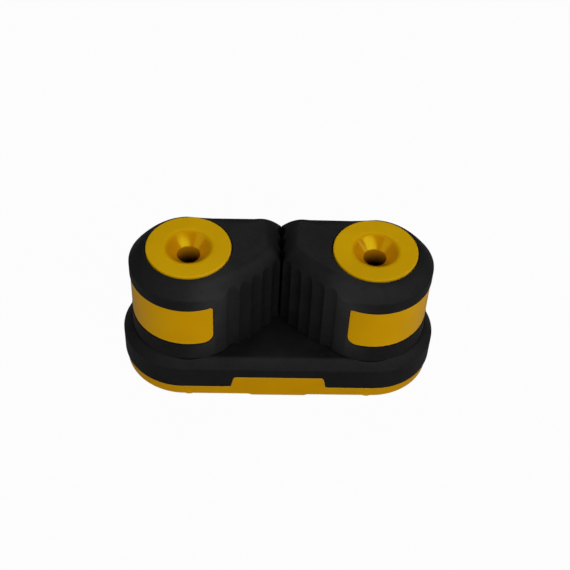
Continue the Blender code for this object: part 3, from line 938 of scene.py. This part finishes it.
def base_plate():
    """Closing plate with a tab in front and behind, pads under it and a boss round each screw hole."""
    line = tab_line(TAB_HALF_FOOT, TAB_HALF_TOP, PLATE_TOP, TAB_TOP)
    centers, outs, radius = stadium_columns("base_plate", line[:, 0])
    head = tab_heights(line, centers, outs)
    edge = PLATE_EDGE

    def row(inset, height):
        return level(centers + outs * (radius - inset), height)

    foot = row(edge, PAD_HEIGHT)
    wall_foot = row(0, PAD_HEIGHT + edge)
    wall_top = row(0, head - edge)
    brim = row(edge, head)
    rings = [row(edge + SUPPORT, PAD_HEIGHT), foot, *eased(foot, row(0, PAD_HEIGHT), wall_foot), wall_foot]
    rings += [wall_top, *eased(wall_top, row(0, head), brim), brim]
    rings += [row(TAB_THICK - edge, head), row(TAB_THICK, np.maximum(head - edge, PLATE_TOP))]
    rings.append(row(TAB_THICK + TAB_STEP, PLATE_TOP))
    plate = stack("base_plate_moulding", rings)
    combine(plate, plate_pads(), "UNION")
    hole = circle(SCREW_HOLE_R, HOLE_STEPS)
    low, high = -CUT_MARGIN, BOSS_TOP + CUT_MARGIN
    combine(plate, [prism("screw_hole", hole, low, high, side) for side in SIDES], "DIFFERENCE")
    return settle(plate, YELLOW_BASE, "base", "base_plate")


def plate_pads():
    """Low pads under the plate, and the bosses that stand on it round the screw holes."""
    half_x, half_y = PAD_HALF

    def oblong(x, y):
        return soften([(a * x, b * y, PAD_CORNER) for a, b in ((-1, -1), (1, -1), (1, 1), (-1, 1))])

    top = PAD_HEIGHT + UNION_DEPTH
    middle = [level(oblong(half_x, half_y), 0), level(oblong(half_x + PAD_SLOPE, half_y), PAD_HEIGHT)]
    middle.append(level(oblong(half_x + PAD_SLOPE, half_y), top))
    pads = [stack("middle_pad", middle)]
    for side in SIDES:
        ring = circle(1.0, HOLE_STEPS)
        pad_r = BOSS_R + SCREW_PAD_SLOPE
        screw_pad = [(BOSS_R, 0), (pad_r, PAD_HEIGHT), (pad_r, top)]
        pads.append(stack("screw_pad", [level(ring * r, z) for r, z in screw_pad], side))
        boss = [(BOSS_R, PLATE_TOP - UNION_DEPTH), (BOSS_R, BOSS_TOP - BOSS_EDGE)]
        boss.append((BOSS_R - BOSS_EDGE, BOSS_TOP))
        pads.append(stack("boss", [level(ring * r, z) for r, z in boss], side))
        foot = [(FOOT_R - FOOT_EDGE_R, 0), (FOOT_R, FOOT_EDGE_R), (FOOT_R, top)]
        for y in (-FOOT_Y, FOOT_Y):
            pads.append(stack("foot", [level(ring * r + (0, y), z) for r, z in foot], side))
    return pads


# Materials


def connect(tree, item, inputs):
    """Links an input to a socket, or sets it to a value."""
    for key, value in inputs.items():
        if isinstance(value, bpy.types.NodeSocket):
            tree.links.new(value, item.inputs[key])
        else:
            item.inputs[key].default_value = value


def add(tree, kind, inputs, output=0, **settings):
    """Adds a shader node, sets or links its inputs, and returns one of its outputs."""
    item = tree.nodes.new("ShaderNode" + kind)
    for key, value in settings.items():
        setattr(item, key, value)
    connect(tree, item, inputs)
    return item.outputs[output]


def calculate(tree, operation, a, b):
    return add(tree, "Math", {0: a, 1: b}, operation=operation)


def times(tree, a, b):
    return calculate(tree, "MULTIPLY", a, b)


def span(tree, value, old, new=(0.0, 1.0)):
    """Maps a value from one range to another and holds it there."""
    inputs = {"Value": value, "From Min": old[0], "From Max": old[1]}
    inputs |= {"To Min": new[0], "To Max": new[1]}
    return add(tree, "MapRange", inputs)


def mix_colors(tree, share, first, second):
    """Mixes two colours; a Mix node keeps its colour inputs at 6 and 7 and its colour output at 2."""
    return add(tree, "Mix", {0: share, 6: first, 7: second}, 2, data_type="RGBA")


def noise(tree, place, scale, detail=2.0, roughness=0.5):
    inputs = {"Vector": place, "Scale": scale, "Detail": detail, "Roughness": roughness}
    return add(tree, "TexNoise", inputs)


def stretched(tree, place, scale):
    """The place vector, with a scale for each axis."""
    return add(tree, "Mapping", {"Vector": place, "Scale": scale})


def relief(tree, height, strength, distance):
    """A bumped normal; the distance is in metres."""
    return add(tree, "Bump", {"Height": height, "Strength": strength, "Distance": distance})


def empty_tree(owner):
    """The node tree of a material or world, without the nodes that it starts with."""
    owner.use_nodes = True
    owner.node_tree.nodes.clear()
    return owner.node_tree


def set_surface(tree, shader, kind="OutputMaterial"):
    output = tree.nodes.new("ShaderNode" + kind)
    tree.links.new(shader, output.inputs["Surface"])


def new_material(name):
    """A material, its empty node tree, and a place vector that differs from piece to piece."""
    material = bpy.data.materials.new(name)
    tree = empty_tree(material)
    place = add(tree, "TexCoord", {}, "Object")
    chance = add(tree, "ObjectInfo", {}, "Random")
    shift = add(tree, "CombineXYZ", {"X": chance, "Y": times(tree, chance, 3.7)})
    place = add(tree, "VectorMath", {0: place, 1: shift}, operation="ADD")
    return material, tree, place


def edge_mask(tree, radius):
    """Near 1 on rounded or sharp edges and 0 on flats."""
    soft = add(tree, "Bevel", {"Radius": radius}, samples=4)
    plain = add(tree, "NewGeometry", {}, "Normal")
    facing = add(tree, "VectorMath", {0: soft, 1: plain}, "Value", operation="DOT_PRODUCT")
    return span(tree, facing, (0.995, 0.9))


def specks(tree, place, scale, size, kept):
    """1 on sparse round specks and 0 elsewhere; kept is the share of the cells that have one."""
    near = add(tree, "TexVoronoi", {"Vector": place, "Scale": scale}, "Distance")
    chance = add(tree, "TexVoronoi", {"Vector": place, "Scale": scale}, "Color")
    red = add(tree, "SeparateColor", {"Color": chance}, "Red")
    spot = span(tree, near, (size, size * 0.4))
    return times(tree, spot, calculate(tree, "GREATER_THAN", red, 1 - kept))


def black_plastic():
    """Moulded black plastic: fine grain, mottling, a painted highlight on its edges, sparse dust, and a
    painted sheen round the corner of each cam's gripping face.
    """
    material, tree, place = new_material("black_plastic")
    grain = noise(tree, place, scale=2200.0, detail=4.0, roughness=0.6)
    mottle = noise(tree, place, scale=170.0, detail=6.0, roughness=0.75)
    edges = times(tree, edge_mask(tree, radius=0.0003), 0.35)
    dust = times(tree, specks(tree, place, scale=210.0, size=0.035, kept=0.2), 0.5)
    # painted sheen: lighter grey where the cam's attribute says, mottled
    painted_sheen = add(tree, "Attribute", {}, "Fac", attribute_name="painted_sheen")
    mottled_sheen = times(tree, painted_sheen, span(tree, mottle, (0.25, 0.75), (0.6, 1.0)))
    color = mix_colors(tree, span(tree, mottle, MOTTLE_RANGE), *BLACKS)
    # painted highlight: lighter colour on the edges
    color = mix_colors(tree, edges, color, BLACK_EDGE_HIGHLIGHT)
    color = mix_colors(tree, mottled_sheen, color, BLACK_SHEEN)
    color = mix_colors(tree, dust, color, DUST_COLOR)
    rough = span(tree, grain, MOTTLE_RANGE, (0.56, 0.7))
    rough = calculate(tree, "SUBTRACT", rough, times(tree, edges, 0.2))
    bump = relief(tree, grain, strength=0.35, distance=0.00003)
    inputs = {"Base Color": color, "Roughness": rough, "Normal": bump}
    inputs["Specular IOR Level"] = BLACK_SPECULAR
    set_surface(tree, add(tree, "BsdfPrincipled", inputs))
    return material


def axis_reach(tree):
    """Distance from the piece's own upright axis, in metres."""
    place = add(tree, "TexCoord", {}, "Object")
    across = add(tree, "VectorMath", {0: place, 1: (1, 1, 0)}, operation="MULTIPLY")
    return add(tree, "VectorMath", {0: across}, "Value", operation="LENGTH")


def inside(tree, radius, edge):
    """1 inside a radius and 0 outside it, with a soft edge between two shares of it."""
    return span(tree, axis_reach(tree), (radius * edge[0] * MM, radius * edge[1] * MM))


def bore_painted_shade(tree, throat):
    """How much painted shade darkens a cap: 0 on its outside and funnel, and up to 1 down its bore, which
    starts at the height throat.
    """
    height = add(tree, "SeparateXYZ", {"Vector": add(tree, "TexCoord", {}, "Object")}, "Z")
    deep = span(tree, height, (throat * MM, (throat - BORE_FADE) * MM))
    return times(tree, inside(tree, CAP_HOLE_R, BORE_EDGE_SHARES), deep)


def yellow_plastic(name, colors, throat=None):
    """Satin yellow plastic with a painted highlight on its edges and fine scuffs; a throat adds a cap's
    funnel and bore, with painted shade in both.
    """
    material, tree, place = new_material(name)
    mottle = noise(tree, place, scale=110.0)
    grain = noise(tree, place, scale=3000.0, detail=3.0, roughness=0.6)
    lengthwise = stretched(tree, place, (1.0, 7.0, 7.0))
    scuffs = noise(tree, lengthwise, scale=300.0, detail=4.0, roughness=0.7)
    edges = edge_mask(tree, radius=0.00025)
    dirt = times(tree, specks(tree, place, scale=260.0, size=0.03, kept=0.1), 0.25)
    color = mix_colors(tree, span(tree, mottle, MOTTLE_RANGE), *colors)
    color = mix_colors(tree, dirt, color, DIRT_COLOR)
    # painted highlight: pale colour on the edges
    color = mix_colors(tree, times(tree, edges, 0.4), color, YELLOW_RIM_HIGHLIGHT)
    rough = span(tree, scuffs, (0.3, 0.75), (0.26, 0.38))
    gloss = span(tree, edges, (0.0, 1.0), (YELLOW_SPECULAR, YELLOW_EDGE_SPECULAR))
    if throat:
        funnel = inside(tree, CAP_LIP_R, FUNNEL_EDGE)
        # painted shade: the funnel darker and more orange
        color = mix_colors(tree, funnel, color, FUNNEL_SHADE_COLOR)
        # painted shade: darker down the bore
        color = mix_colors(tree, bore_painted_shade(tree, throat), color, BORE_SHADE_COLOR)
        rough = calculate(tree, "SUBTRACT", rough, times(tree, funnel, FUNNEL_POLISH))
        gloss = calculate(tree, "MAXIMUM", gloss, times(tree, funnel, FUNNEL_SPECULAR))
    bump = relief(tree, grain, strength=0.15, distance=0.00002)
    inputs = {"Base Color": color, "Roughness": rough, "Normal": bump}
    inputs |= {"Specular IOR Level": gloss, "Specular Tint": YELLOW_SHEEN}
    set_surface(tree, add(tree, "BsdfPrincipled", inputs))
    return material


def steel():
    """Turned and drawn stainless steel with fine marks across the axis."""
    material, tree, place = new_material("steel")
    round_axis = stretched(tree, place, (0.15, 0.15, 4.0))
    marks = noise(tree, round_axis, scale=2500.0, detail=3.0, roughness=0.6)
    color = mix_colors(tree, noise(tree, place, scale=200.0), *STEELS)
    rough = span(tree, marks, MOTTLE_RANGE, (0.22, 0.38))
    bump = relief(tree, marks, strength=0.3, distance=0.00001)
    inputs = {"Base Color": color, "Metallic": 1.0, "Roughness": rough, "Normal": bump}
    set_surface(tree, add(tree, "BsdfPrincipled", inputs))
    return material


def white_plastic():
    """Satin off-white low-friction plastic."""
    material, tree, place = new_material("white_plastic")
    grain = noise(tree, place, scale=2600.0, detail=3.0, roughness=0.6)
    color = mix_colors(tree, noise(tree, place, scale=150.0, detail=3.0), *WHITES)
    rough = span(tree, grain, MOTTLE_RANGE, (0.4, 0.5))
    bump = relief(tree, grain, strength=0.2, distance=0.00002)
    inputs = {"Base Color": color, "Roughness": rough, "Normal": bump}
    set_surface(tree, add(tree, "BsdfPrincipled", inputs))
    return material


def ball_plastic():
    """Polished dark bearing balls."""
    material, tree, place = new_material("ball_plastic")
    tone = noise(tree, place, scale=400.0)
    color = mix_colors(tree, tone, *BALL_GREYS)
    inputs = {"Base Color": color, "Roughness": span(tree, tone, MOTTLE_RANGE, (0.16, 0.26))}
    set_surface(tree, add(tree, "BsdfPrincipled", inputs))
    return material


# Stage


def floor():
    """A pale floor that the camera sees as bright. From below it doesn't show, and it lets light up."""
    mesh = bpy.data.meshes.new("floor")
    half = FLOOR_SIZE / 2
    corners = [(-half, -half, 0), (half, -half, 0), (half, half, 0), (-half, half, 0)]
    mesh.from_pydata(corners, [], [(0, 1, 2, 3)])
    material = bpy.data.materials.new("floor")
    tree = empty_tree(material)
    skin = add(tree, "BsdfDiffuse", {"Color": FLOOR_COLOR})
    glow = add(tree, "Emission", {"Color": WHITE_LIGHT, "Strength": 1.0})
    seen = add(tree, "LightPath", {}, "Is Camera Ray")
    lit = add(tree, "MixShader", {0: times(tree, seen, FLOOR_GLOW), 1: skin, 2: glow})
    under = add(tree, "NewGeometry", {}, "Backfacing")
    passing = add(tree, "LightPath", {}, "Is Shadow Ray")
    gone = calculate(tree, "MAXIMUM", under, passing)
    clear = add(tree, "BsdfTransparent", {})
    set_surface(tree, add(tree, "MixShader", {0: gone, 1: lit, 2: clear}))
    mesh.materials.append(material)
    new_object("floor", mesh)


def world():
    """Dim even light, which the camera sees as white."""
    scene_world = bpy.data.worlds.new("studio")
    tree = empty_tree(scene_world)
    seen = add(tree, "LightPath", {}, "Is Camera Ray")
    dim = add(tree, "Background", {"Color": WHITE_LIGHT, "Strength": AMBIENT})
    white = add(tree, "Background", {"Color": WHITE_LIGHT, "Strength": 1.0})
    set_surface(tree, add(tree, "MixShader", {0: seen, 1: dim, 2: white}), "OutputWorld")
    bpy.context.scene.world = scene_world


def direction(azimuth, elevation):
    """Unit vector from the object towards an azimuth (0 is -Y, 90 is +X) and elevation."""
    a, e = radians(azimuth), radians(elevation)
    return Vector((sin(a) * cos(e), -cos(a) * cos(e), sin(e)))


def soft_light(name, azimuth, elevation, size, power):
    """A rectangular light that faces a point over the stage's middle."""
    data = bpy.data.lights.new(name, "AREA")
    data.shape = "RECTANGLE"
    data.size, data.size_y = size
    data.energy = power
    item = new_object(name, data)
    away = direction(azimuth, elevation)
    item.location = away * LIGHT_DISTANCE + Vector((0, 0, LIGHT_HEIGHT))
    item.rotation_mode = "QUATERNION"
    item.rotation_quaternion = away.to_track_quat("Z", "Y")
    item.visible_camera = False


def camera():
    data = bpy.data.cameras.new("camera")
    data.lens = CAMERA_LENS
    data.clip_start, data.clip_end = 0.01, 10
    item = new_object("camera", data)
    back = direction(CAMERA_AZIMUTH, CAMERA_ELEVATION)
    item.location = Vector(CAMERA_AIM) * MM + back * CAMERA_DISTANCE * MM
    item.rotation_mode = "QUATERNION"
    roll = Quaternion((0, 0, 1), radians(CAMERA_ROLL))
    item.rotation_quaternion = back.to_track_quat("Z", "Y") @ roll
    bpy.context.scene.camera = item


# Assembly


def box_mm(node):
    low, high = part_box(node)
    return low / MM, high / MM


def settle(piece, material, body, node):
    """Gives a piece its material, and puts it on its body in place of a CAD node."""
    piece.data.materials.clear()
    piece.data.materials.append(material)
    even_normals(piece)
    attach(piece, body)
    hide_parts(node)
    return piece


LABELS = {-1: "left", 1: "right"}
JOINTS = {joint["name"]: joint for joint in frame["joints"]}
PIVOTS = {side: JOINTS[f"{LABELS[side]}_cam_pivot"] for side in SIDES}
AXIS_X = {side: PIVOTS[side]["pos_m"][0] for side in SIDES}

THROAT = box_mm("left_cap")[1].z - CAP_SINK

BLACK = black_plastic()
YELLOW_CAP = yellow_plastic("yellow_cap", CAP_YELLOWS, THROAT)
YELLOW_BAND = yellow_plastic("yellow_band", BAND_YELLOWS)
YELLOW_BASE = yellow_plastic("yellow_base", BASE_YELLOWS)
STEEL = steel()
WHITE = white_plastic()
BALL = ball_plastic()

base_plate()
base_shell()
for side in SIDES:
    cam(side)
    side_band(side)
    cap(side)
    post(side)
    spring(side)
    bearing_ring(side, "wear_washer", WASHER_R, "base")
    bearing_ring(side, "race_ring", RING_R, "base")
    bearing_ring(side, "ball_spacer", RING_R, f"{LABELS[side]}_balls")
    balls(side)

floor()
world()
for light in LIGHTS:
    soft_light(*light)
camera()
bpy.context.scene.view_settings.view_transform = "Standard"
